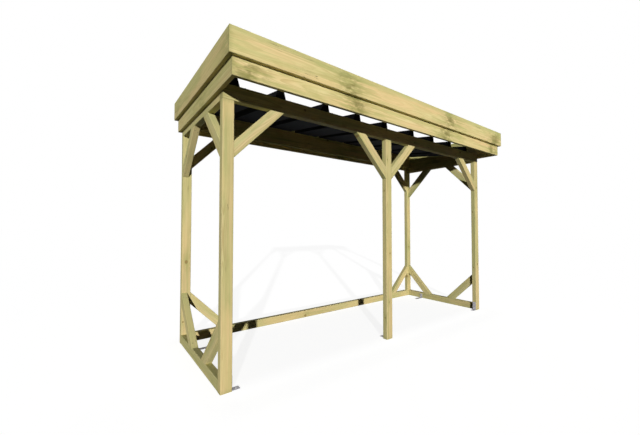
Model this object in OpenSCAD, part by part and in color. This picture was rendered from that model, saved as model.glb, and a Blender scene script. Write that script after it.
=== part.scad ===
// Open-fronted timber log store: a braced frame of treated softwood under a
// profiled steel roof that is hidden behind a stepped double fascia.
// Built in millimetres, +Z up, standing on the ground.

/* [Frame] */
// Length over the outer faces of the end posts
frame_length = 3000; // [2700:10:3300]
// Depth from the front of the front posts to the back of the back posts
frame_depth = 990; // [800:10:1400]
// Height of the front posts, up to the underside of the front beam
front_post_h = 1703; // [1400:1:2100]
// How much taller the back posts are, which gives the roof its fall
back_rise = 77; // [30:1:90]
// How far the roof climbs from the front beam to the back beam
roof_rise = 140; // [100:1:140]
// Distance of the middle post's centre from the middle of the front
middle_post_offset = -54; // [-150:1:150]

/* [Timber] */
// Wide face of a post, rail or brace
timber_w = 70; // [60:1:90]
// Narrow face of a post, rail or brace
timber_t = 45; // [35:1:60]
// Height of the front roof beam, at its low edge
beam_h = 91; // [80:1:100]
// Eased corner along each planed timber
arris = 2; // [0.5:0.5:4]
// Length that a brace reaches along a post or a beam, at its outer edge
brace_leg = 340; // [240:5:400]

/* [Fascia] */
// Height of one fascia board
fascia_h = 145; // [120:1:170]
// Thickness of one fascia board
fascia_t = 26; // [18:1:32]
// How far the lower fascia starts above the underside of the front beam
fascia_lift = 44; // [10:1:60]
// How far the upper fascia starts above the lower one
fascia_step = 102; // [70:1:118]
// Open gap between the front beam and the back of the front fascia
front_gap = 188; // [100:1:260]

/* [Roof] */
// Thickness of the roof steel
sheet_t = 1; // [0.6:0.1:1.4]
// Distance between the ribs of a roof sheet
rib_pitch = 320; // [280:1:330]
// Width that one roof sheet covers, from lap to lap
sheet_cover = 1010; // [960:1:1060]
// Height of a rib
rib_h = 48; // [25:1:48]
// Width of a rib at its foot
rib_base = 82; // [70:1:108]
// Width of a rib at its crest
rib_crest = 46; // [20:1:55]
// Width that the left-hand sheet covers after it is cut to fit
left_sheet_cover = 752; // [720:1:790]
// Height above the pan at which a lapping rib starts
lap_lift = 3; // [2:0.5:6]
// Space between a lapping rib and the leg under it
lap_clearance = 1.5; // [1:0.5:4]
// Space between the back edge of the roof and the back fascia
roof_back_clearance = 4; // [2:1:20]
// Space between the roof's outer edges and the side fascias
roof_end_clearance = 2; // [1:0.5:4]

/* [Ground brackets] */
// Length of a post bracket's foot, out over the ground
bracket_foot = 52; // [48:1:80]
// Length of a rail bracket's foot, out over the ground
rail_bracket_foot = 115; // [60:1:130]
// Height of the upright of a bracket on a post
bracket_leg = 88; // [50:1:110]
// Height of the upright of a bracket on a bottom rail
rail_bracket_leg = 54; // [40:1:58]
// Width of a bracket
bracket_w = 34; // [24:1:34]
// Thickness of the bracket steel
bracket_t = 3; // [2:0.5:4]
// Outside radius of a bracket's bend
bracket_bend = 5; // [5:0.5:8]
// Radius of the hole for the ground bolt
bracket_hole_r = 5.5; // [3:0.5:8]
// Distance from the tip of a bracket's foot to the middle of its hole
bracket_hole_inset = 22; // [16:1:26]
// Distance of a side rail's bracket from the back post
side_bracket_from_back = 200; // [80:1:300]

/* [Hidden] */

wood = [0.72, 0.68, 0.45];
steel = [0.70, 0.71, 0.72];
roof_grey = [0.30, 0.31, 0.33];

// The frame's own corner is the outer front corner of the left post; the
// part's origin is on the ground under the middle of the fascia.
fascia_front_reach = front_gap + 2 * fascia_t;
fascia_back_reach = 2 * fascia_t;
x_left = -frame_length / 2;
y_front = (fascia_front_reach - fascia_back_reach - frame_depth) / 2;

back_post_h = front_post_h + back_rise;
back_post_y = frame_depth - timber_t;
right_post_x = frame_length - timber_w;
middle_post_x = (frame_length - timber_w) / 2 + middle_post_offset;
right_rail_x = frame_length - timber_t;
side_rail_l = back_post_y - timber_t;

roof_slope = atan(roof_rise / back_post_y);
back_beam_h = beam_h + roof_rise - back_rise;
roof_front_z = front_post_h + beam_h;
lower_fascia_z = front_post_h + fascia_lift;
upper_fascia_z = lower_fascia_z + fascia_step;

roof_x0 = roof_end_clearance;
roof_x1 = frame_length - roof_end_clearance;
roof_l = (frame_depth - roof_back_clearance) / cos(roof_slope);
rib_run = (rib_base - rib_crest) / 2;
rib_angle = atan(rib_h / rib_run);
fold_shift = sheet_t * tan(rib_angle / 2);
leg_w = sheet_t / sin(rib_angle);
lap_run = rib_run * lap_lift / rib_h;
lap_inset = leg_w + lap_clearance;
upstand_h = rib_h / 2;
upstand_run = rib_run * upstand_h / rib_h;

side_bracket_y = back_post_y - side_bracket_from_back;

// Number of facets on round work
$fn = 48;

module placed() {
    translate([x_left, y_front, 0]) children();
}

// ---- Timber sections ----

// A planed timber section with its four corners eased
module eased_section(w, d) {
    polygon([
        [arris, 0], [w - arris, 0], [w, arris], [w, d - arris],
        [w - arris, d], [arris, d], [0, d - arris], [0, arris],
    ]);
}

// Upright timber
module timber_z(w, d, l) {
    linear_extrude(height = l) eased_section(w, d);
}

// Timber lying along the length of the store, d deep and h high
module timber_x(l, d, h) {
    rotate([90, 0, 90]) linear_extrude(height = l) eased_section(d, h);
}

// Timber lying along the depth of the store, w wide and h high
module timber_y(w, l, h) {
    translate([0, l, 0]) rotate([90, 0, 0]) linear_extrude(height = l) eased_section(w, h);
}

// Roof beam: its top is planed to the fall of the roof
module beam(l, h) {
    rise = timber_t * tan(roof_slope);
    rotate([90, 0, 90]) linear_extrude(height = l) polygon([
        [arris, 0], [timber_t - arris, 0], [timber_t, arris],
        [timber_t, h + rise], [0, h], [0, arris],
    ]);
}

// ---- Braces ----

// A brace in the corner between a post face (the plane x = 0) and the
// underside of a beam (the plane z = 0), with both ends cut to seat flat
module corner_brace() {
    intersection() {
        translate([0, 0, -brace_leg]) cube([brace_leg, timber_t, brace_leg]);
        translate([0, 0, -brace_leg]) rotate([0, -45, 0])
            timber_x(brace_leg * sqrt(2), timber_t, timber_w);
    }
}

function flip(way) = way < 0 ? 1 : 0;

// Brace in the front or back frame: side and up are 1 or -1
module brace_x(x, y, z, side, up) {
    color(wood) placed() translate([x, y, z])
        mirror([flip(side), 0, 0]) mirror([0, 0, flip(up)]) corner_brace();
}

// Brace in a side frame, lying from x to x + timber_t
module brace_y(x, y, z, side, up) {
    color(wood) placed() translate([x, y, z])
        mirror([0, flip(side), 0]) mirror([0, 0, flip(up)])
            rotate([0, 0, 90]) mirror([0, 1, 0]) corner_brace();
}

// ---- Posts ----

module post(x, y, h) {
    color(wood) placed() translate([x, y, 0]) timber_z(timber_w, timber_t, h);
}

module front_left_post() post(0, 0, front_post_h);
module front_middle_post() post(middle_post_x, 0, front_post_h);
module front_right_post() post(right_post_x, 0, front_post_h);
module back_left_post() post(0, back_post_y, back_post_h);
module back_right_post() post(right_post_x, back_post_y, back_post_h);

// ---- Rails and beams ----

module side_rail(x, z) {
    color(wood) placed() translate([x, timber_t, z]) timber_y(timber_t, side_rail_l, timber_w);
}

module left_bottom_rail() side_rail(0, 0);
module right_bottom_rail() side_rail(right_rail_x, 0);
module left_top_rail() side_rail(0, front_post_h);
module right_top_rail() side_rail(right_rail_x, front_post_h);

module back_bottom_rail() {
    color(wood) placed() translate([timber_w, back_post_y, 0])
        timber_x(frame_length - 2 * timber_w, timber_t, timber_w);
}

module front_beam() {
    color(wood) placed() translate([0, 0, front_post_h]) beam(frame_length, beam_h);
}

module back_beam() {
    color(wood) placed() translate([0, back_post_y, back_post_h])
        beam(frame_length, back_beam_h);
}

// ---- The sixteen braces, by the frame that they stiffen ----

module front_left_brace() brace_x(timber_w, 0, front_post_h, 1, 1);
module front_middle_left_brace() brace_x(middle_post_x, 0, front_post_h, -1, 1);
module front_middle_right_brace() brace_x(middle_post_x + timber_w, 0, front_post_h, 1, 1);
module front_right_brace() brace_x(right_post_x, 0, front_post_h, -1, 1);

module left_side_top_front_brace() brace_y(0, timber_t, front_post_h, 1, 1);
module left_side_top_back_brace() brace_y(0, back_post_y, front_post_h, -1, 1);
module right_side_top_front_brace() brace_y(right_rail_x, timber_t, front_post_h, 1, 1);
module right_side_top_back_brace() brace_y(right_rail_x, back_post_y, front_post_h, -1, 1);

module left_side_bottom_front_brace() brace_y(0, timber_t, timber_w, 1, -1);
module left_side_bottom_back_brace() brace_y(0, back_post_y, timber_w, -1, -1);
module right_side_bottom_front_brace() brace_y(right_rail_x, timber_t, timber_w, 1, -1);
module right_side_bottom_back_brace() brace_y(right_rail_x, back_post_y, timber_w, -1, -1);

module back_top_left_brace() brace_x(timber_w, back_post_y, back_post_h, 1, 1);
module back_top_right_brace() brace_x(right_post_x, back_post_y, back_post_h, -1, 1);
module back_bottom_left_brace() brace_x(timber_w, back_post_y, timber_w, 1, -1);
module back_bottom_right_brace() brace_x(right_post_x, back_post_y, timber_w, -1, -1);

// ---- Fascia: two rings of boards, mitred at the corners ----

// Sides of a ring of boards, counted outwards from the back of the lower
// fascia, which lies against the ends and the back of the frame
function ring_x0(out) = -out;
function ring_x1(out) = frame_length + out;
function ring_y0(out) = -front_gap - out;
function ring_y1(out) = frame_depth + out;

// Board along the front or the back, in ring 0 or ring 1
module fascia_long(ring, z, at_back) {
    inner = ring * fascia_t;
    outer = inner + fascia_t;
    y_in = at_back ? ring_y1(inner) : ring_y0(inner);
    y_out = at_back ? ring_y1(outer) : ring_y0(outer);
    color(wood) placed() translate([0, 0, z]) intersection() {
        translate([ring_x0(outer), min(y_in, y_out), 0])
            timber_x(ring_x1(outer) - ring_x0(outer), fascia_t, fascia_h);
        linear_extrude(height = fascia_h) polygon([
            [ring_x0(outer), y_out], [ring_x1(outer), y_out],
            [ring_x1(inner), y_in], [ring_x0(inner), y_in],
        ]);
    }
}

// Board along the left or the right, in ring 0 or ring 1
module fascia_side(ring, z, at_right) {
    inner = ring * fascia_t;
    outer = inner + fascia_t;
    x_in = at_right ? ring_x1(inner) : ring_x0(inner);
    x_out = at_right ? ring_x1(outer) : ring_x0(outer);
    color(wood) placed() translate([0, 0, z]) intersection() {
        translate([min(x_in, x_out), ring_y0(outer), 0])
            timber_y(fascia_t, ring_y1(outer) - ring_y0(outer), fascia_h);
        linear_extrude(height = fascia_h) polygon([
            [x_out, ring_y0(outer)], [x_out, ring_y1(outer)],
            [x_in, ring_y1(inner)], [x_in, ring_y0(inner)],
        ]);
    }
}

module lower_fascia_front() fascia_long(0, lower_fascia_z, false);
module lower_fascia_back() fascia_long(0, lower_fascia_z, true);
module lower_fascia_left() fascia_side(0, lower_fascia_z, false);
module lower_fascia_right() fascia_side(0, lower_fascia_z, true);
module upper_fascia_front() fascia_long(1, upper_fascia_z, false);
module upper_fascia_back() fascia_long(1, upper_fascia_z, true);
module upper_fascia_left() fascia_side(1, upper_fascia_z, false);
module upper_fascia_right() fascia_side(1, upper_fascia_z, true);

// ---- Roof: three profiled steel sheets, each lapped over the one on its left ----

// Upper and lower outline of a rib whose middle is at c
function rib_top(c) = [
    [c - rib_base / 2, 0], [c - rib_crest / 2, rib_h],
    [c + rib_crest / 2, rib_h], [c + rib_base / 2, 0],
];

function rib_under(c) = [
    [c - rib_base / 2 + fold_shift, -sheet_t], [c - rib_crest / 2 + fold_shift, rib_h - sheet_t],
    [c + rib_crest / 2 - fold_shift, rib_h - sheet_t], [c + rib_base / 2 - fold_shift, -sheet_t],
];

// First rib of a lapping sheet: its left leg stops above the pan under it
function lap_rib_top(c) = [
    [c - rib_base / 2 + lap_run, lap_lift], for (i = [1:3]) rib_top(c)[i],
];

function lap_rib_under(c) = [
    [c - rib_base / 2 + lap_run + leg_w, lap_lift], for (i = [1:3]) rib_under(c)[i],
];

// Upstand at a sheet's right edge, inside the next sheet's first rib
function upstand_top(c) = [
    [c - rib_base / 2 + lap_inset, 0],
    [c - rib_base / 2 + lap_inset + upstand_run, upstand_h],
];

function upstand_under(c) = [
    [c - rib_base / 2 + lap_inset + fold_shift, -sheet_t],
    [c - rib_base / 2 + lap_inset + upstand_run + leg_w, upstand_h],
];

function joined(lists) = [for (part = lists) for (p = part) p];
function turned(points) = [for (i = [len(points) - 1:-1:0]) points[i]];

// Section of sheet number n, counted from the left and seen from the front
module sheet_section(n) {
    first = left_sheet_cover + (n - 1) * sheet_cover;
    is_first = n == 0;
    is_last = n == 2;
    low = roof_x0 + rib_base / 2 + sheet_t;
    high = roof_x1 - rib_base / 2 - sheet_t;
    run = is_last ? [first + rib_pitch:rib_pitch:high]
        : [for (i = [is_first ? 0 : 1:2]) first + i * rib_pitch];
    plain = [for (c = run) if (c > low) c];
    next = first + sheet_cover;
    start_top = is_first ? [[roof_x0, 0]] : lap_rib_top(first);
    start_under = is_first ? [[roof_x0, -sheet_t]] : lap_rib_under(first);
    end_top = is_last ? [[roof_x1, 0]] : upstand_top(next);
    end_under = is_last ? [[roof_x1, -sheet_t]] : upstand_under(next);
    top = concat(start_top, joined([for (c = plain) rib_top(c)]), end_top);
    under = concat(start_under, joined([for (c = plain) rib_under(c)]), end_under);
    polygon(concat(top, turned(under)));
}

// Sheet number n, lying on both beams at the fall of the roof
module roof_sheet(n) {
    color(roof_grey) placed() translate([0, 0, roof_front_z]) rotate([roof_slope, 0, 0])
        translate([0, roof_l, sheet_t]) rotate([90, 0, 0])
            linear_extrude(height = roof_l) sheet_section(n);
}

module roof_sheet_left() roof_sheet(0);
module roof_sheet_middle() roof_sheet(1);
module roof_sheet_right() roof_sheet(2);

// ---- Ground brackets: bent steel angles with one hole for a ground bolt ----

// Bracket against the plane x = 0, its foot pointing along +x
module angle_bracket(leg, foot) {
    inner_bend = bracket_bend - bracket_t;
    difference() {
        union() {
            cube([foot, bracket_w, bracket_t]);
            cube([bracket_t, bracket_w, leg]);
            translate([bracket_t, 0, bracket_t]) cube([inner_bend, bracket_w, inner_bend]);
        }
        translate([bracket_bend, -1, bracket_bend]) rotate([-90, 0, 0])
            cylinder(r = inner_bend, h = bracket_w + 2);
        difference() {
            translate([-1, -1, -1]) cube([bracket_bend + 1, bracket_w + 2, bracket_bend + 1]);
            translate([bracket_bend, -2, bracket_bend]) rotate([-90, 0, 0])
                cylinder(r = bracket_bend, h = bracket_w + 4);
        }
        translate([foot - bracket_hole_inset, bracket_w / 2, -1])
            cylinder(r = bracket_hole_r, h = bracket_t + 2);
    }
}

// Bracket on a post's or rail's face at x, with its middle at y
module bracket(x, y, side, leg, foot) {
    color(steel) placed() translate([x, y - bracket_w / 2, 0])
        mirror([flip(side), 0, 0]) angle_bracket(leg, foot);
}

// Bracket on the back of a post, its foot pointing to the back
module back_facing_bracket(x, leg, foot) {
    color(steel) placed() translate([x + bracket_w / 2, timber_t, 0])
        rotate([0, 0, 90]) angle_bracket(leg, foot);
}

module front_left_bracket() bracket(timber_w, timber_t / 2, 1, bracket_leg, bracket_foot);
module front_middle_bracket()
    back_facing_bracket(middle_post_x + timber_w / 2, bracket_leg, bracket_foot);
module front_right_bracket()
    bracket(right_post_x, timber_t / 2, -1, bracket_leg, bracket_foot);
module left_rail_bracket()
    bracket(timber_t, side_bracket_y, 1, rail_bracket_leg, rail_bracket_foot);
module right_rail_bracket()
    bracket(right_rail_x, side_bracket_y, -1, rail_bracket_leg, rail_bracket_foot);

front_left_post();
front_middle_post();
front_right_post();
back_left_post();
back_right_post();
left_bottom_rail();
right_bottom_rail();
back_bottom_rail();
front_beam();
back_beam();
left_top_rail();
right_top_rail();
front_left_brace();
front_middle_left_brace();
front_middle_right_brace();
front_right_brace();
left_side_top_front_brace();
left_side_top_back_brace();
right_side_top_front_brace();
right_side_top_back_brace();
left_side_bottom_front_brace();
left_side_bottom_back_brace();
right_side_bottom_front_brace();
right_side_bottom_back_brace();
back_top_left_brace();
back_top_right_brace();
back_bottom_left_brace();
back_bottom_right_brace();
lower_fascia_front();
lower_fascia_back();
lower_fascia_left();
lower_fascia_right();
upper_fascia_front();
upper_fascia_back();
upper_fascia_left();
upper_fascia_right();
roof_sheet_left();
roof_sheet_middle();
roof_sheet_right();
front_left_bracket();
front_middle_bracket();
front_right_bracket();
left_rail_bracket();
right_rail_bracket();
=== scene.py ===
import math
import random

import bmesh
import bpy
from mathutils import Matrix, Vector

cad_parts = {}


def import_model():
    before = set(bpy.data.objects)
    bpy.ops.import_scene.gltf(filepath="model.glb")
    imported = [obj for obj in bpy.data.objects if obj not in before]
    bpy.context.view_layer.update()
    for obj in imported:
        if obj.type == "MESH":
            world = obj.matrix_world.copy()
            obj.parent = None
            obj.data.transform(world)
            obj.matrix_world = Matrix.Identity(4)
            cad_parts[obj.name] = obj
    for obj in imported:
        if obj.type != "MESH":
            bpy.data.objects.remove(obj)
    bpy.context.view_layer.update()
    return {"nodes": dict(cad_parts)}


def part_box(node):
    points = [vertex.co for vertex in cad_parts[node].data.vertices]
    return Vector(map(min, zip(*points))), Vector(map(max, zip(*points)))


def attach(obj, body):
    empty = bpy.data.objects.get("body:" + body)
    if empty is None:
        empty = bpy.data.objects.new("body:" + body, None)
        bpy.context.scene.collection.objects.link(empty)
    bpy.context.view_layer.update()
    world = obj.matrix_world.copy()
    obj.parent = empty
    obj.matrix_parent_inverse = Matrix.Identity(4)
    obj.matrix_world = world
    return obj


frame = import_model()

NODES = frame["nodes"]
RNG = random.Random(20)
X, Y, Z = Vector((1, 0, 0)), Vector((0, 1, 0)), Vector((0, 0, 1))


# ---------------------------------------------------------------- shader nodes

class Net:
    """Builds a shader node tree with short calls."""

    def __init__(self, tree):
        self.tree = tree
        tree.nodes.clear()

    def put(self, socket, value):
        """Links a node's output to a socket, or sets the socket to a plain value."""
        if isinstance(value, bpy.types.NodeSocket):
            self.tree.links.new(value, socket)
        else:
            socket.default_value = value

    def node(self, kind, inputs=None, **settings):
        new = self.tree.nodes.new("ShaderNode" + kind)
        for key, value in settings.items():
            setattr(new, key, value)
        for key, value in (inputs or {}).items():
            self.put(new.inputs[key], value)
        return new

    def math(self, operation, a, b=0.0):
        return self.node("Math", {0: a, 1: b}, operation=operation).outputs[0]

    def add(self, a, b):
        return self.math("ADD", a, b)

    def sub(self, a, b):
        return self.math("SUBTRACT", a, b)

    def mul(self, a, b):
        return self.math("MULTIPLY", a, b)

    def length(self, a, b):
        return self.math("SQRT", self.add(self.mul(a, a), self.mul(b, b)))

    def sway(self, value, reach):
        """Turns a value of 0 to 1 into one about 0, which goes half the reach each way."""
        return self.mul(self.sub(value, 0.5), reach)

    def bell(self, distance, reach):
        """1 at no distance, falling to nothing past about twice the reach."""
        x = self.mul(distance, 1.0 / reach)
        return self.math("EXPONENT", self.mul(self.mul(x, x), -1.0))

    def smooth(self, value, low, high):
        """0 at low and 1 at high, whichever of them is the greater."""
        return self.node("MapRange", {"Value": value, "From Min": low, "From Max": high},
                         interpolation_type="SMOOTHSTEP").outputs["Result"]

    def split(self, vector):
        return self.node("SeparateXYZ", {0: vector}).outputs

    def stretch(self, vector, x, y, z):
        """Scales a place, so that a noise of it has about that many waves to the metre each way."""
        return self.node("VectorMath", {0: vector, 1: (x, y, z)}, operation="MULTIPLY").outputs[0]

    def noise(self, vector, detail=2.0, roughness=0.5, scale=1.0):
        return self.node("TexNoise", {
            "Vector": vector, "Scale": scale, "Detail": detail, "Roughness": roughness,
        }).outputs[0]

    def noise_line(self, w):
        """Three independent smooth values along one number."""
        new = self.node("TexNoise", {"W": w, "Scale": 1.0, "Detail": 1.0}, noise_dimensions="1D")
        return self.node("SeparateColor", {"Color": new.outputs["Color"]}).outputs

    def dice(self, w):
        """Four independent random values for one number."""
        new = self.node("TexWhiteNoise", {"W": w}, noise_dimensions="1D")
        split = self.node("SeparateColor", {"Color": new.outputs["Color"]}).outputs
        return split[0], split[1], split[2], new.outputs["Value"]

    def mix(self, factor, a, b, blend="MIX"):
        new = self.node("Mix", data_type="RGBA", blend_type=blend)
        self.put(new.inputs["Factor"], factor)
        self.put(new.inputs[6], a)
        self.put(new.inputs[7], b)
        return new.outputs[2]

    def tint(self, colour, mask, share, towards):
        """Moves a colour towards another, by a share of the way where the mask is 1."""
        return self.mix(self.mul(mask, share), colour, towards)

    def choose(self, factor, a, b):
        """One of two shaders, by a factor of 0 or 1."""
        both = self.node("MixShader", {0: factor})
        self.put(both.inputs[1], a.outputs[0])
        self.put(both.inputs[2], b.outputs[0])
        return both

    def seen(self):
        """1 for the camera's own rays and for what shows in a reflection or through glass."""
        path = self.node("LightPath").outputs
        return self.math("MAXIMUM", path["Is Camera Ray"],
                         self.math("MAXIMUM", path["Is Glossy Ray"], path["Is Transmission Ray"]))

    def end(self, shader, kind="OutputMaterial"):
        self.put(self.node(kind).inputs["Surface"], shader.outputs[0])

    def coat(self, colour, roughness, height, bump, extra):
        """Ends a material with a Principled surface. Height is in metres, and bump is its strength."""
        normal = self.node("Bump", {"Height": height, "Strength": bump, "Distance": 1.0}).outputs[0]
        self.end(self.node("BsdfPrincipled", {
            "Base Color": colour, "Roughness": roughness, "Normal": normal, **extra}))


def begin(name):
    """A new material, and the net that fills it."""
    material = bpy.data.materials.new(name)
    material.use_nodes = True
    return material, Net(material.node_tree)


def rgb(r, g, b):
    return (r, g, b, 1.0)


# ---------------------------------------------------------------- timber

WOOD = {
    "pale": rgb(0.60, 0.535, 0.235),
    "tan": rgb(0.70, 0.535, 0.265),
    "olive streak": rgb(0.455, 0.445, 0.175),
    "cream streak": rgb(0.72, 0.625, 0.33),
    "blotch": rgb(0.375, 0.385, 0.125),
    "late wood": rgb(0.40, 0.30, 0.105),
    "long board": rgb(0.15, 0.11, 0.055),
    "warm zone": rgb(0.86, 0.61, 0.29),
    "drawn stripe": rgb(0.45, 0.43, 0.145),
    "whorl": rgb(0.27, 0.245, 0.075),
    "eye": rgb(0.19, 0.155, 0.05),
    "green edge": rgb(0.47, 0.49, 0.18),
    # Painted shade colour, for the narrow faces and the side-frame timbers
    "side shade tint": rgb(0.37, 0.40, 0.17),
    "check": rgb(0.13, 0.10, 0.04),
    "knot": rgb(0.36, 0.25, 0.085),
    "knot heart": rgb(0.27, 0.18, 0.06),
    "knot rim": rgb(0.20, 0.145, 0.05),
    "worn": rgb(0.74, 0.68, 0.40),
    "near end": rgb(0.33, 0.33, 0.12),
    "end grain": rgb(0.27, 0.235, 0.095),
}


class Timber(Net):
    """Treated softwood as a solid: x across its width, y through it and z along its grain."""

    SOCKETS = (
        ("INPUT", "Vector", ("Place", "Half", "Pith")),
        ("INPUT", "Float", ("Seed", "Ring", "Knot pitch", "Knot size", "Knot odds", "Blotch", "End",
                            "Narrow", "Board")),
        ("OUTPUT", "Color", ("Color",)),
        ("OUTPUT", "Float", ("Roughness", "Height")),
    )

    def __init__(self):
        tree = bpy.data.node_groups.new("treated_softwood", "ShaderNodeTree")
        for way, kind, names in self.SOCKETS:
            for name in names:
                tree.interface.new_socket(name, in_out=way, socket_type="NodeSocket" + kind)
        super().__init__(tree)
        self.get = tree.nodes.new("NodeGroupInput").outputs
        self.seed = self.get["Seed"]
        self.x, self.y, self.z = self.split(self.get["Place"])
        self.half_x, self.half_y, self.half_z = self.split(self.get["Half"])
        shift = self.node("CombineXYZ", {
            axis: self.mul(self.seed, factor) for axis, factor in enumerate((1.71, 2.37, 3.93))})
        self.place = self.node("VectorMath", {0: self.get["Place"], 1: shift.outputs[0]},
                               operation="ADD").outputs[0]

        knot, rim, flow, halo = self.knots()
        late = self.late_wood(flow)
        streak = self.grain(62, 1.3, 3.0)
        cloud = self.grain(13, 3.6, 4.0, 0.6)
        fibre = self.grain(820, 16)
        check = self.mul(
            self.smooth(self.math("ABSOLUTE", self.sub(self.grain(34, 0.9), 0.5)), 0.0065, 0.002),
            self.smooth(self.grain(7, 2.3), 0.56, 0.66))
        colour = self.plain_colour(streak, cloud, halo, late)
        colour = self.board_colour(colour, cloud)
        # Painted shade: the narrow faces, and the side-frame timbers all over, are tinted darker and greener
        # to stand in for shade
        colour = self.tint(colour, self.get["Narrow"], 0.35, WOOD["side shade tint"])
        colour = self.marks(colour, fibre, check, knot, rim)
        colour = self.wear(colour)

        # Heights in metres: late wood and fibres stand proud, checks and the rims of knots are sunk
        height = self.add(self.mul(late, 0.00010), self.mul(fibre, 0.00010))
        height = self.sub(height, self.mul(check, 0.0006))
        height = self.sub(height, self.mul(rim, 0.00015))
        roughness = self.sub(self.add(self.mul(streak, 0.16), 0.68), self.mul(knot, 0.14))
        out = tree.nodes.new("NodeGroupOutput").inputs
        for name, value in (("Color", colour), ("Roughness", roughness), ("Height", height)):
            self.put(out[name], value)

    def grain(self, across, along, detail=2.0, roughness=0.5):
        """A noise with this many waves to the metre across the grain and along it."""
        return self.noise(self.stretch(self.place, across, across, along), detail, roughness)

    def apart(self, value, factor, seed=None):
        """Moves a value by the timber's seed. Uneven factors keep one draw apart from another."""
        return self.add(value, self.mul(self.seed if seed is None else seed, factor))

    def inside(self, half, value):
        """How far a place is inside a side, from half the size and the place's distance from the middle."""
        return self.sub(half, self.math("ABSOLUTE", value))

    def knot_row(self, across, half, seed, pitch, size, odds):
        """A row of knots that run straight through the timber: (knot, rim, flow, halo), each 0 to 1.

        The length is cut into cells of one pitch. Each cell throws dice for where in its middle half
        its knot lies, how far to the side, how big it is, and whether there is one at all.
        """
        place = self.apart(self.math("DIVIDE", self.z, pitch), 7.13, seed)
        cell = self.math("FLOOR", place)
        at, side, big, luck = self.dice(self.apart(cell, 3.7, seed))
        here = self.math("LESS_THAN", luck, odds)
        radius = self.mul(size, self.add(self.mul(big, 0.9), 0.55))
        dz = self.mul(self.sub(self.sub(place, cell), self.add(self.mul(at, 0.5), 0.25)), pitch)
        du = self.sub(across, self.mul(self.sway(side, 2.0), half))
        # From here on the distance counts in radii, and a knot is a little longer than wide
        distance = self.math("DIVIDE", self.length(du, self.mul(dz, 0.78)), radius)
        drawn_out = self.length(self.math("DIVIDE", du, radius),
                                self.math("DIVIDE", self.mul(dz, 0.3), radius))
        knot = self.smooth(distance, 1.05, 0.85)
        rim = self.mul(self.smooth(distance, 0.72, 0.95), self.smooth(distance, 1.25, 1.0))
        flow = self.bell(distance, 2.1)
        halo = self.bell(drawn_out, 3.2)
        return [self.mul(part, here) for part in (knot, rim, flow, halo)]

    def knots(self):
        """Knots that come out on the wide faces, and smaller and rarer ones that come out on the edges."""
        pitch, size, odds = (self.get["Knot " + name] for name in ("pitch", "size", "odds"))
        wide = self.knot_row(self.x, self.half_x, self.seed, pitch, size, odds)
        edge = self.knot_row(self.y, self.mul(self.half_y, 0.35), self.add(self.seed, 5.3),
                             self.mul(pitch, 1.37), self.mul(size, 0.6), self.mul(odds, 0.7))
        near_edge = self.smooth(self.inside(self.half_x, self.x), 0.014, 0.004)
        edge = [self.mul(part, near_edge) for part in edge]
        return [self.math("MAXIMUM", a, b) for a, b in zip(wide, edge)]

    def late_wood(self, flow):
        """The dark part of each year, round a pith that wanders along the length and past the knots."""
        pith_x, pith_y, _ = self.split(self.get["Pith"])
        wander = self.noise_line(self.apart(self.mul(self.z, 1.3), 13.1))
        from_x = self.add(self.sub(self.x, pith_x), self.sway(wander[0], 0.05))
        from_y = self.add(self.sub(self.y, pith_y), self.sway(wander[1], 0.04))
        radius = self.add(self.length(from_x, from_y), self.sway(self.grain(26, 2.4), 0.009))
        rings = self.add(self.math("DIVIDE", radius, self.get["Ring"]), self.mul(flow, 1.9))
        year = self.math("FLOOR", rings)
        in_year = self.sub(rings, year)
        dark_year = self.dice(self.add(year, self.seed))[3]
        late = self.mul(self.smooth(in_year, 0.30, 0.88), self.smooth(in_year, 1.0, 0.93))
        return self.mul(late, self.add(self.mul(dark_year, 0.75), 0.35))

    def plain_colour(self, streak, cloud, halo, late):
        """Pale yellow, tan stripes, and olive where more preservative went in. The side-frame timbers get
        more of the olive, as painted shade.
        """
        blotch = self.math("MAXIMUM", self.mul(self.smooth(cloud, 0.53, 0.70), self.get["Blotch"]),
                           self.mul(self.mul(halo, self.smooth(cloud, 0.34, 0.60)), 0.85))
        colour = self.mix(self.smooth(self.grain(11, 1.0), 0.44, 0.66), WOOD["pale"], WOOD["tan"])
        colour = self.tint(colour, self.smooth(streak, 0.46, 0.70), 0.75, WOOD["olive streak"])
        colour = self.tint(colour, self.smooth(streak, 0.46, 0.30), 0.5, WOOD["cream streak"])
        colour = self.tint(colour, blotch, 0.8, WOOD["blotch"])
        return self.tint(colour, late, 0.50, WOOD["late wood"])

    def board_colour(self, colour, cloud):
        """Wide boards have an olive whorl of knots in each metre, with stripes drawn out from it.

        Every timber has warm zones. The long boards are lighter, and each board's top edge is greener.
        """
        board = self.get["Board"]
        place = self.apart(self.z, 3.31)
        cell = self.math("FLOOR", place)
        at = self.dice(self.apart(cell, 1.9))[0]
        dz = self.sub(self.sub(place, cell), self.add(self.mul(at, 0.30), 0.35))
        smear = self.grain(30, 11, 3.0, 0.6)
        whorl = self.bell(self.add(dz, self.sway(smear, 0.14)), 0.095)
        whorl = self.mul(self.mul(whorl, self.smooth(smear, 0.34, 0.60)), board)
        eye = self.mul(whorl, self.smooth(self.grain(42, 17), 0.50, 0.68))
        drawn = self.smooth(self.grain(48, 4.5, 3.0, 0.6), 0.46, 0.60)
        drawn = self.mul(self.mul(self.bell(dz, 0.30), drawn), board)
        long_board = self.smooth(board, 0.5, 1.0)
        warm = self.mul(self.smooth(self.grain(6, 1.7), 0.47, 0.62),
                        self.add(self.mul(long_board, 0.35), 0.65))
        green = self.mul(self.smooth(self.add(self.x, self.sway(cloud, 0.05)), 0.018, 0.055), board)
        colour = self.mix(long_board, colour, WOOD["long board"], "ADD")
        colour = self.tint(colour, warm, 0.50, WOOD["warm zone"])
        colour = self.tint(colour, drawn, 0.70, WOOD["drawn stripe"])
        colour = self.tint(colour, whorl, 0.85, WOOD["whorl"])
        colour = self.tint(colour, eye, 0.42, WOOD["eye"])
        return self.tint(colour, green, 0.50, WOOD["green edge"])

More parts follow.
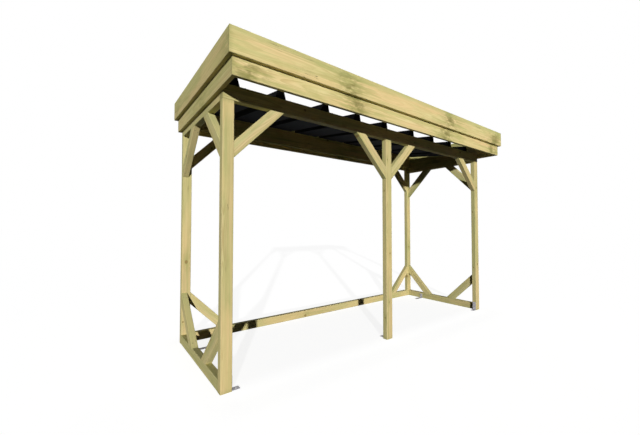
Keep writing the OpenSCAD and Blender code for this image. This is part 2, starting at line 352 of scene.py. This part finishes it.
    def marks(self, colour, fibre, check, knot, rim):
        """Fibres, drying checks and knots."""
        fibre_grey = self.node("CombineColor", {0: fibre, 1: fibre, 2: fibre}).outputs[0]
        knot_colour = self.mix(self.grain(300, 120), WOOD["knot"], WOOD["knot heart"])
        colour = self.mix(0.20, colour, fibre_grey, "OVERLAY")
        colour = self.tint(colour, check, 0.75, WOOD["check"])
        colour = self.tint(colour, knot, 0.85, knot_colour)
        return self.tint(colour, rim, 0.55, WOOD["knot rim"])

    def wear(self, colour):
        """Worn arrises, and ends that drank more of the preservative."""
        to_arris = self.add(self.inside(self.half_x, self.x), self.inside(self.half_y, self.y))
        to_arris = self.add(to_arris, self.sway(self.grain(90, 14), 0.008))
        to_end = self.add(self.inside(self.half_z, self.z), self.sway(self.grain(120, 20), 0.03))
        colour = self.tint(colour, self.smooth(to_arris, 0.005, 0.0015), 0.12, WOOD["worn"])
        colour = self.tint(colour, self.smooth(to_end, 0.03, 0.0), 0.35, WOOD["near end"])
        return self.tint(colour, self.get["End"], 0.6, WOOD["end grain"])


TIMBER = Timber().tree
# What a kind of timber gives the group, with its lengths in metres
FASCIA = {"Ring": 0.0056, "Knot pitch": 0.80, "Knot size": 0.010, "Knot odds": 0.0, "Blotch": 0.75}
FRAMING = {"Ring": 0.0040, "Knot pitch": 0.42, "Knot size": 0.0075, "Knot odds": 0.45, "Board": 0.0}
# The whorls show fully on the long boards, and less on the short ones
LONG_BOARD, SHORT_BOARD = 1.0, 0.6
# The timbers and boards that run from front to back are darker and greener all over, and the framing ones
# more blotched: painted shade for faces that look to the sides
SIDE_FRAME_SHADE = 0.75
SIDE_FRAME_SHADE_BLOTCH, PLAIN_BLOTCH = 0.6, 0.25
# Half a brace's width, thickness and length
BRACE_HALF = (0.035, 0.0225, 0.17 * math.sqrt(2))


def axes_for(grain, through):
    """Turns a timber's own axes (z along its grain, y through it) into the frame's."""
    z = Vector(grain).normalized()
    y = Vector(through).normalized()
    return Matrix((y.cross(z), y, z)).transposed()


def timber_material(name, centre, turn, half, pith, side_shade, kind):
    """A timber's own material, from where it lies, how it is turned and what kind it is."""
    material, net = begin(name)
    where = net.node("TexCoord").outputs["Object"]
    own = net.node("Mapping", {
        "Vector": where, "Location": centre, "Rotation": turn.to_euler(),
    }, vector_type="TEXTURE").outputs[0]
    normal = net.node("NewGeometry").outputs["True Normal"]
    facing = [net.node("VectorMath", {0: normal, 1: turn.col[axis]}, operation="DOT_PRODUCT").outputs["Value"]
              for axis in (0, 2)]
    across, along = (net.math("ABSOLUTE", part) for part in facing)
    wood = material.node_tree.nodes.new("ShaderNodeGroup")
    wood.node_tree = TIMBER
    given = {
        "Place": own, "Half": half, "Pith": pith, "Seed": RNG.uniform(0, 40),
        "End": net.smooth(along, 0.45, 0.65),
        # Painted side shade on the narrow faces, and all over the timbers that run from front to back
        "Narrow": net.math("MAXIMUM", net.smooth(across, 0.55, 0.80), side_shade), **kind,
    }
    for key, value in given.items():
        net.put(wood.inputs[key], value)
    net.coat(wood.outputs["Color"], wood.outputs["Roughness"], wood.outputs["Height"], 0.8,
             {"Specular IOR Level": 0.12})
    return material


def dress(node, material):
    """Gives a CAD node its material."""
    for slot in NODES[node].material_slots:
        slot.material = material


def brace_way(node):
    """(side, up) of a brace: which way it leans from its post, and whether its beam is over it."""
    mid_height, touching = 0.9, 0.01
    low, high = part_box(node)
    if high.x - low.x > high.y - low.y:
        # The nearest post's face tells which end of the brace stands on it
        posts = [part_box(post) for post in NODES if post.endswith("post")]
        side = min(min((abs(post[1].x - low.x), 1), (abs(post[0].x - high.x), -1)) for post in posts)[1]
    else:
        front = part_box("front_left_post")[1].y
        side = 1 if abs(low.y - front) < touching else -1
    up = 1 if (low.z + high.z) / 2 > mid_height else -1
    return side, up


def either_side(low, high):
    """A random distance to one side or the other."""
    return RNG.choice((-1, 1)) * RNG.uniform(low, high)


def dress_timber(node):
    """Gives a timber its own wood, with the grain along it and a pith of its own."""
    low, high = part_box(node)
    centre, size = (low + high) / 2, high - low
    run = X if size.x > size.y else Y
    if "post" in node:
        run = Z
        turn = axes_for(Z, Y)
        half = tuple(size / 2)
    elif "brace" in node:
        side, up = brace_way(node)
        turn = axes_for(run * side + Z * up, Y if run is X else X)
        half = BRACE_HALF
    else:
        # A fascia board's own x axis points up, so that the greener edge is the top one
        face = -Y if "fascia" in node else Y
        turn = axes_for(run, face if run is X else X)
        half = (size.z / 2, min(size.x, size.y) / 2, max(size) / 2)
    # Painted shade all over the timbers that run from front to back
    side_shade = SIDE_FRAME_SHADE if run is Y else 0.0
    if "fascia" in node:
        pith = (RNG.uniform(-0.03, 0.03), either_side(0.04, 0.09), 0)
        kind = {**FASCIA, "Board": LONG_BOARD if run is X else SHORT_BOARD}
    else:
        pith = (either_side(0.01, 0.05), either_side(0.02, 0.05), 0)
        kind = {**FRAMING, "Blotch": SIDE_FRAME_SHADE_BLOTCH if side_shade else PLAIN_BLOTCH}
    dress(node, timber_material(node + "_wood", centre, turn, half, pith, side_shade, kind))


for name in NODES:
    if "roof_sheet" not in name and "bracket" not in name:
        dress_timber(name)


# ---------------------------------------------------------------- steel

def roof_material():
    """Dark coated steel: fine texture in the paint, dust along the falls, bare cut edges."""
    material, net = begin("roof_coating")
    where = net.node("TexCoord").outputs["Object"]
    normal = net.node("NewGeometry").outputs["True Normal"]
    _, forward, upward = net.split(normal)
    cloud = net.noise(net.stretch(where, 5, 3, 5), 4.0, 0.6)
    runs = net.noise(net.stretch(where, 55, 2.0, 30), 3.0, 0.55)
    grain = net.noise(where, 2.0, 0.5, 900.0)
    scratch = net.noise(net.stretch(where, 420, 9, 420), 2.0, 0.7)
    dust = net.mul(net.mul(net.smooth(runs, 0.42, 0.72), net.smooth(cloud, 0.30, 0.62)),
                   net.smooth(upward, 0.4, 0.95))
    scuff = net.mul(net.smooth(scratch, 0.70, 0.76), net.smooth(cloud, 0.45, 0.62))
    cut = net.smooth(net.math("ABSOLUTE", forward), 0.90, 0.97)
    colour = net.mix(cloud, rgb(0.015, 0.016, 0.018), rgb(0.024, 0.025, 0.028))
    colour = net.tint(colour, dust, 0.35, rgb(0.075, 0.072, 0.062))
    colour = net.tint(colour, scuff, 0.5, rgb(0.09, 0.092, 0.095))
    colour = net.tint(colour, cut, 0.5, rgb(0.10, 0.10, 0.10))
    rough = net.add(net.add(net.mul(grain, 0.10), 0.70), net.mul(dust, 0.2))
    net.coat(colour, rough, net.mul(grain, 0.00006), 0.6, {"Specular IOR Level": 0.02})
    return material


def zinc_material(name, tone, dull, metal):
    """Zinc on steel: crystals of slightly different grey, and dull spots."""
    darkest_crystal = 0.81
    material, net = begin(name)
    where = net.node("TexCoord").outputs["Object"]
    bend = net.node("TexNoise", {"Vector": where, "Scale": 260.0}).outputs["Color"]
    bent = net.node("VectorMath", {0: where, 1: net.stretch(bend, 0.004, 0.004, 0.004)},
                    operation="ADD").outputs[0]
    crystal = net.node("TexVoronoi", {"Vector": bent, "Scale": 190.0})
    tint = net.node("SeparateColor", {"Color": crystal.outputs["Color"]}).outputs[0]
    spots = net.noise(where, 4.0, 0.65, 45.0)
    colour = net.mix(tint, rgb(*(darkest_crystal * part for part in tone)), rgb(*tone))
    colour = net.tint(colour, net.smooth(spots, 0.52, 0.72), 0.6, rgb(*dull))
    rough = net.add(net.add(net.mul(tint, 0.14), 0.30), net.mul(net.smooth(spots, 0.50, 0.70), 0.25))
    net.coat(colour, rough, net.mul(net.noise(where, 3.0, 0.6, 500.0), 0.00008), 0.6, {"Metallic": metal})
    return material


def rubber_material():
    """Black sealing rubber with a faint bloom."""
    material, net = begin("sealing_rubber")
    bloom = net.noise(net.node("TexCoord").outputs["Object"], 3.0, 0.6, 240.0)
    colour = net.mix(bloom, rgb(0.012, 0.012, 0.012), rgb(0.035, 0.035, 0.034))
    net.coat(colour, net.add(net.mul(bloom, 0.2), 0.65), net.mul(bloom, 0.0001), 0.6, {})
    return material


ROOF = roof_material()
ZINC = zinc_material("galvanised_steel", (0.50, 0.49, 0.53), (0.27, 0.265, 0.28), 0.25)
SCREW = zinc_material("coated_screw", (0.34, 0.31, 0.15), (0.22, 0.20, 0.10), 0.25)
RUBBER = rubber_material()
for name in NODES:
    if "roof_sheet" in name:
        dress(name, ROOF)
    elif "bracket" in name:
        dress(name, ZINC)


# ---------------------------------------------------------------- fixings

SIDES = 24
ANGLES = [2 * math.pi * i / SIDES for i in range(SIDES)]
MM_PER_M = 1000


def round_rim(radius):
    return [radius] * SIDES


def star_rim(radius):
    """Six lobes of a star drive."""
    return [radius * (1 + 0.2 * math.cos(6 * angle)) for angle in ANGLES]


def hex_rim(flats):
    """A hexagon, from its width across flats."""
    sixth = math.pi / 3
    return [flats / 2 / math.cos(angle % sixth - sixth / 2) for angle in ANGLES]


# Heads as rims from the seat upwards: (rim, height in millimetres, material number)
WOOD_HEAD = [
    (round_rim(4.0), 0.0, 0), (round_rim(4.0), 0.25, 0), (round_rim(3.6), 0.55, 0),
    (star_rim(2.05), 0.6, 0), (star_rim(1.85), 0.12, 0),
]
PAN_HEAD = [
    (round_rim(4.4), 0.0, 0), (round_rim(4.4), 0.8, 0), (round_rim(4.0), 1.6, 0),
    (round_rim(3.2), 2.1, 0), (star_rim(2.0), 2.3, 0), (star_rim(1.8), 0.7, 0),
]
ROOF_HEAD = [
    (round_rim(7.0), 0.0, 1), (round_rim(7.3), 0.8, 1), (round_rim(7.0), 1.6, 1), (round_rim(8.0), 1.6, 0),
    (round_rim(8.0), 2.2, 0), (round_rim(5.6), 2.9, 0), (round_rim(5.6), 3.5, 0), (hex_rim(8.0), 3.8, 0),
    (hex_rim(8.0), 7.2, 0), (hex_rim(7.1), 7.8, 0), (round_rim(2.6), 7.8, 0), (round_rim(2.3), 7.4, 0),
]


def fixings(name, seats, head, materials):
    """One piece with a screw head on each seat, (place, outward normal)."""
    bm = bmesh.new()
    for place, normal in seats:
        spin = Matrix.Rotation(RNG.uniform(0, 2 * math.pi), 4, "Z")
        upright = Vector(normal).to_track_quat("Z", "Y").to_matrix().to_4x4()
        stand = Matrix.Translation(place) @ upright @ spin
        rings = []
        for rim, height, _ in head:
            points = [Vector((r * math.cos(angle), r * math.sin(angle), height)) / MM_PER_M
                      for r, angle in zip(rim, ANGLES)]
            rings.append([bm.verts.new(stand @ point) for point in points])
        bm.faces.new(list(reversed(rings[0]))).material_index = head[0][2]
        for (lower, upper), (_, _, number) in zip(zip(rings, rings[1:]), head[1:]):
            for i in range(SIDES):
                j = (i + 1) % SIDES
                bm.faces.new((lower[i], lower[j], upper[j], upper[i])).material_index = number
        bm.faces.new(rings[-1]).material_index = head[-1][2]
    mesh = bpy.data.meshes.new(name)
    bm.to_mesh(mesh)
    bm.free()
    for material in materials:
        mesh.materials.append(material)
    piece = bpy.data.objects.new(name, mesh)
    bpy.context.scene.collection.objects.link(piece)
    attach(piece, "root")


def brace_seats():
    """Two screws at each end of each brace, in its outer long edge."""
    from_tip, to_side, stagger = 0.046, 0.011, 0.0055
    seats = []
    for node in NODES:
        if "brace" not in node:
            continue
        low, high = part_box(node)
        side, up = brace_way(node)
        level, depth = (X, Y) if high.x - low.x > high.y - low.y else (Y, X)
        foot, reach = (low, high) if side > 0 else (high, low)
        near, far = (high.z, low.z) if up > 0 else (low.z, high.z)
        a = level * foot.dot(level) + Z * far
        b = level * reach.dot(level) + Z * near
        along = (b - a).normalized()
        outward = (level * side - Z * up).normalized()
        middle = (low + high).dot(depth) / 2
        for end, way in ((a, 1), (b, -1)):
            for hand in (-1, 1):
                step = from_tip + hand * stagger
                seats.append((end + along * way * step + depth * (middle + hand * to_side), outward))
    return seats


def frame_seats():
    """Screws through the back posts into the ends of the side rails, two to a joint."""
    # To the side of the rail's middle, and above its underside
    offsets = ((-0.004, 0.018), (0.004, 0.052))
    back_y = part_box("back_bottom_rail")[1].y
    seats = []
    for rail in ("left_bottom_rail", "right_bottom_rail"):
        low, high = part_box(rail)
        for aside, above in offsets:
            seats.append((Vector(((low.x + high.x) / 2 + aside, back_y, low.z + above)), Y))
    return seats


def spaced(low, high, margin, count):
    """Evenly spaced places from one margin to the other."""
    return [low + margin + i * (high - low - 2 * margin) / (count - 1) for i in range(count)]


def fascia_seats():
    """The lower ring is screwed to the back beam, and the upper ring to the lower one from inside."""
    seats = []
    low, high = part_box("lower_fascia_back")
    beam_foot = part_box("back_beam")[0].z
    for i, x in enumerate(spaced(low.x, high.x, 0.09, 7)):
        seats.append((Vector((x, high.y, beam_foot + (0.03 if i % 2 else 0.05))), Y))
    low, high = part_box("lower_fascia_front")
    for x in spaced(low.x, high.x, 0.2, 6):
        seats.append((Vector((x, high.y, high.z - 0.012)), Y))
    for node, way in (("lower_fascia_left", X), ("lower_fascia_right", -X)):
        low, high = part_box(node)
        x = high.x if way.x > 0 else low.x
        for from_front in (0.12, 0.36, 0.6):
            seats.append((Vector((x, low.y + from_front, high.z - 0.009)), way))
    return seats


def roof_seats():
    """A sealed screw in each pan beside its rib, over both beams."""
    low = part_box("roof_sheet_left")[0]
    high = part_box("roof_sheet_right")[1]
    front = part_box("front_beam")
    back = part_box("back_beam")
    # The tops of both beams are planed to the fall of the roof
    fall = (back[1].z - front[1].z) / (back[1].y - front[1].y)
    up = Vector((0, -fall, 1)).normalized()
    # The sheets' own sizes, as in the part's source
    thickness, rib_pitch, sheet_cover, left_sheet_cover = 0.001, 0.320, 1.010, 0.752
    beside_rib, margin = 0.085, 0.02
    seats = []
    for sheet, ribs in enumerate((3, 3, 4)):
        for i in range(ribs):
            x = front[0].x + left_sheet_cover + (sheet - 1) * sheet_cover + i * rib_pitch + beside_rib
            if not low.x + margin < x < high.x - margin:
                continue
            for beam in (front, back):
                y = (beam[0].y + beam[1].y) / 2
                z = front[1].z + fall * (y - front[1].y)
                seats.append((Vector((x, y, z)) + up * thickness, up))
    return seats


def bracket_seats():
    """Two screws up each bracket's upright."""
    ways = {"front_left_bracket": X, "front_middle_bracket": Y, "front_right_bracket": -X,
            "left_rail_bracket": X, "right_rail_bracket": -X}
    thickness = 0.003
    seats = []
    for node, way in ways.items():
        low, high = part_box(node)
        for share in (0.42, 0.80):
            place = (low + high) / 2
            place.z = low.z + share * (high.z - low.z)
            if way is Y:
                place.y = low.y + thickness
            else:
                place.x = low.x + thickness if way is X else high.x - thickness
            seats.append((place, way))
    return seats


fixings("brace_screws", brace_seats(), WOOD_HEAD, [SCREW])
fixings("frame_screws", frame_seats(), WOOD_HEAD, [SCREW])
fixings("fascia_screws", fascia_seats(), WOOD_HEAD, [SCREW])
fixings("bracket_screws", bracket_seats(), PAN_HEAD, [SCREW])
fixings("roof_screws", roof_seats(), ROOF_HEAD, [ROOF, RUBBER])


# ---------------------------------------------------------------- floor, light and camera

WHITE = rgb(1, 1, 1)


def floor():
    """A floor that is white to the camera and keeps the shadows, and that throws little light back."""
    half = 60.0
    corners = [(-half, -half, 0), (half, -half, 0), (half, half, 0), (-half, half, 0)]
    mesh = bpy.data.meshes.new("floor")
    mesh.from_pydata(corners, [], [(0, 1, 2, 3)])
    piece = bpy.data.objects.new("floor", mesh)
    bpy.context.scene.collection.objects.link(piece)
    material, net = begin("floor")
    plain = net.node("BsdfDiffuse", {"Color": rgb(0.30, 0.30, 0.30)})
    glow = net.node("Emission", {"Color": WHITE, "Strength": 0.88})
    bounce = net.node("BsdfDiffuse", {"Color": rgb(0.03, 0.03, 0.03)})
    shown = net.node("AddShader")
    net.put(shown.inputs[0], plain.outputs[0])
    net.put(shown.inputs[1], glow.outputs[0])
    net.end(net.choose(net.seen(), bounce, shown))
    mesh.materials.append(material)


def world():
    """Faint soft light from all round, and white behind the object."""
    new = bpy.data.worlds.new("studio")
    bpy.context.scene.world = new
    new.use_nodes = True
    net = Net(new.node_tree)
    soft = net.node("Background", {"Color": WHITE, "Strength": 0.025})
    white = net.node("Background", {"Color": WHITE, "Strength": 1.0})
    net.end(net.choose(net.seen(), soft, white), "OutputWorld")


def lamp(name, towards, strength, spread):
    """A sun that shines along a direction, with its spread in degrees."""
    data = bpy.data.lights.new(name, "SUN")
    data.energy = strength
    data.angle = math.radians(spread)
    piece = bpy.data.objects.new(name, data)
    piece.rotation_mode = "QUATERNION"
    piece.rotation_quaternion = Vector(towards).to_track_quat("-Z", "Y")
    bpy.context.scene.collection.objects.link(piece)


def camera():
    """The photo's camera, fitted to the straight edges of the frame: it looks up and to the right."""
    up, right = 1.61, 36.80
    data = bpy.data.cameras.new("camera")
    data.sensor_fit = "HORIZONTAL"
    data.sensor_width = 36.0
    data.lens = 17.19
    data.clip_end = 200.0
    piece = bpy.data.objects.new("camera", data)
    piece.location = (-2.0987, -2.1444, 0.9579)
    piece.rotation_euler = (math.radians(90 + up), 0, math.radians(-right))
    bpy.context.scene.collection.objects.link(piece)
    bpy.context.scene.camera = piece


floor()
world()
# The key lamp's direction is read from the shadows of the front posts on the back rail
lamp("key", (0.635, 1.0, -0.21), 3.65, 1.2)
# The fill is level, so that it leaves the underside of the roof dark
lamp("fill", (-0.85, -1.0, -0.015), 2.2, 5)
lamp("top", (0.0, 0.02, -1.0), 0.5, 6)
camera()
bpy.context.scene.view_settings.view_transform = "Standard"
